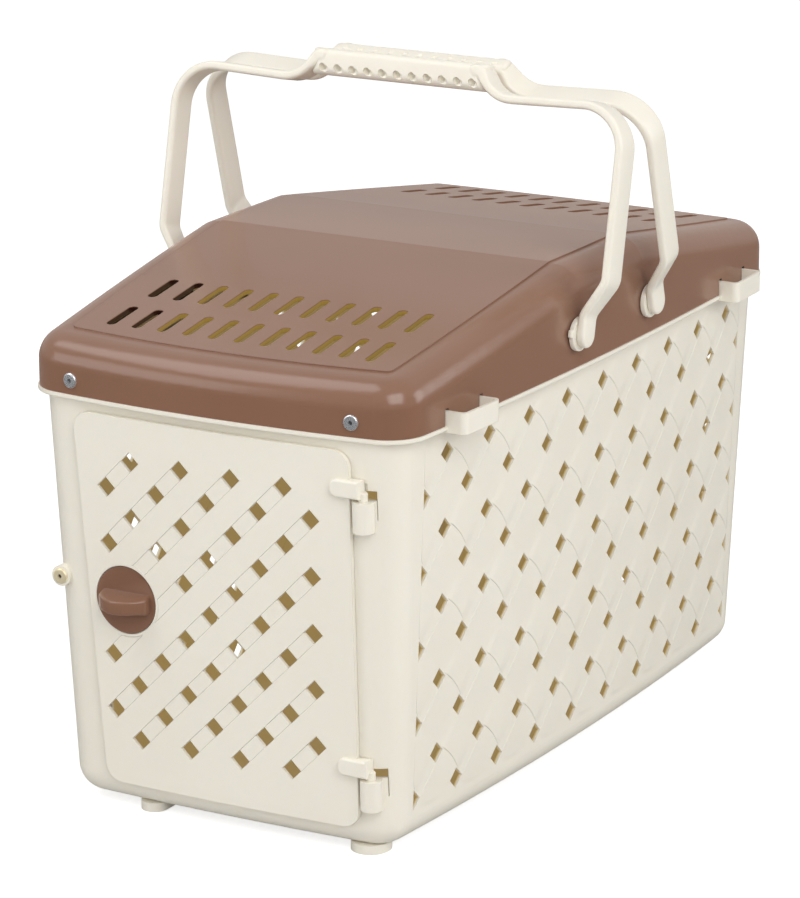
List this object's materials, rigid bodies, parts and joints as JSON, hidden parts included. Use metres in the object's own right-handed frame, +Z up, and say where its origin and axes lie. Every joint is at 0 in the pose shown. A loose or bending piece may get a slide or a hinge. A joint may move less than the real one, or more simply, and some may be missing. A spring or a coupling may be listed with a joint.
{
  "type": "pet carrier basket",
  "caption": "Rigid pet carrier: drafted cream tub with woven lattice openings, riveted brown lid with vent slots, lift-off front door with turn latch and two folding carrying handles.",
  "frame": {"origin": "middle of the footprint, on the floor under the feet", "axes": "+Z up, the door faces -Y, +X to the right seen from the door"},
  "size_m": [0.3234, 0.5141, 0.4384],
  "materials": {
    "cream_plastic": "semi-gloss injection-moulded cream plastic",
    "brown_plastic": "glossy injection-moulded brown plastic",
    "aluminium": "bright blind-rivet heads",
    "champagne_aluminium": "warm-toned blind-rivet head",
    "dark_steel": "dark broken mandrels",
    "steel": "zinc-plated steel"
  },
  "bodies": {
    "carrier": {"basket": "cream_plastic", "lid": "brown_plastic", "lid_rivet_front_left": "aluminium", "lid_rivet_front_left_mandrel": "dark_steel", "lid_rivet_front_right": "aluminium", "lid_rivet_front_right_mandrel": "dark_steel", "lid_rivet_rear_left": "aluminium", "lid_rivet_rear_left_mandrel": "dark_steel", "lid_rivet_rear_right": "aluminium", "lid_rivet_rear_right_mandrel": "dark_steel", "keeper_rivet": "champagne_aluminium", "keeper_rivet_mandrel": "dark_steel", "latch_keeper": "steel"},
    "door": {"front_door": "cream_plastic"},
    "knob": {"door_knob": "brown_plastic", "latch_cam": "brown_plastic", "cam_screw": "steel"},
    "front_handle_body": {"front_handle": "cream_plastic"},
    "rear_handle_body": {"rear_handle": "cream_plastic"}
  },
  "joints": [
    {"name": "door_hinge", "type": "hinge", "parent": "carrier", "child": "door", "pos_m": [0.1038, -0.23773, 0], "axis": [0, -0.0404, 0.9992], "range_deg": [0, 104]},
    {"name": "knob_turn", "type": "hinge", "parent": "door", "child": "knob", "pos_m": [-0.0625, -0.24296, 0.1396], "axis": [0, 1, 0], "range_deg": [0, 90]},
    {"name": "front_handle_fold", "type": "hinge", "parent": "carrier", "child": "front_handle_body", "pos_m": [0, -0.0482, 0.2858], "axis": [1, 0, 0], "range_deg": [0, 88]},
    {"name": "rear_handle_fold", "type": "hinge", "parent": "carrier", "child": "rear_handle_body", "pos_m": [0, 0.0482, 0.2858], "axis": [-1, 0, 0], "range_deg": [0, 91]}
  ]
}
